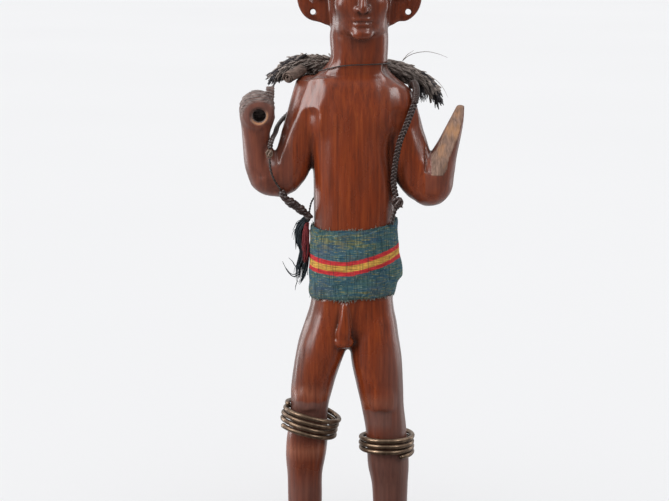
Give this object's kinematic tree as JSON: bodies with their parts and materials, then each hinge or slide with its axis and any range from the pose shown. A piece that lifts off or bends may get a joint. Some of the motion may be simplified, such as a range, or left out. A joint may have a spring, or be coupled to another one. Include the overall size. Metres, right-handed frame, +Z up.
{
  "type": "carved ancestor figure",
  "caption": "Standing carved wooden figure with raised arms, woven striped waistcloth, wire leg coils and a shaggy fibre back pack on braided straps.",
  "frame": {"origin": "on the underside of the base, below the middle line of the body", "axes": "+Z up, the figure faces -Y, +X to the viewer's right when the viewer faces the figure"},
  "size_m": [0.1756, 0.1206, 0.488],
  "materials": {
    "wood": "gloss, hand rubbed",
    "woven_cloth": "matt hand weave",
    "wire": "dark patina, worn bright on the crowns",
    "dark_cord": "matt",
    "basketry": "matt",
    "plant_fibre": "matt, coarse",
    "braid": "greasy, half gloss",
    "light_knot": "matt",
    "leather_cord": "half gloss",
    "indigo_yarn": "matt",
    "red_yarn": "matt"
  },
  "bodies": {
    "figure": {"carved_figure": "wood", "waist_cloth": "woven_cloth", "neck_cord": "dark_cord", "pack_basket": "basketry", "pack_thatch_back": "plant_fibre", "pack_thatch_top": "plant_fibre", "pack_thatch_left": "plant_fibre", "pack_thatch_right": "plant_fibre", "pack_roll": "basketry", "right_strap_wrap": "braid", "right_strap_braid": "braid", "right_strap_knot": "braid", "left_strap_braid": "braid", "left_strap_knot": "light_knot", "left_strap_cord": "leather_cord", "left_strap_wrap": "braid", "waist_tie_cord": "leather_cord"},
    "left_coil": {"left_leg_coil": "wire"},
    "right_coil": {"right_leg_coil": "wire"},
    "tassel": {"tassel_indigo": "indigo_yarn", "tassel_red": "red_yarn"}
  },
  "joints": [
    {"name": "left_coil_slide", "type": "slide", "parent": "figure", "child": "left_coil", "axis": [0.0748, 0, 0.9972], "range_m": [0, 0.008]},
    {"name": "right_coil_slide", "type": "slide", "parent": "figure", "child": "right_coil", "axis": [-0.0995, 0, 0.995], "range_m": [0, 0.006]},
    {"name": "tassel_swing", "type": "hinge", "parent": "figure", "child": "tassel", "pos_m": [-0.038, 0, 0.264], "axis": [0, 1, 0], "range_deg": [0, 60]}
  ]
}
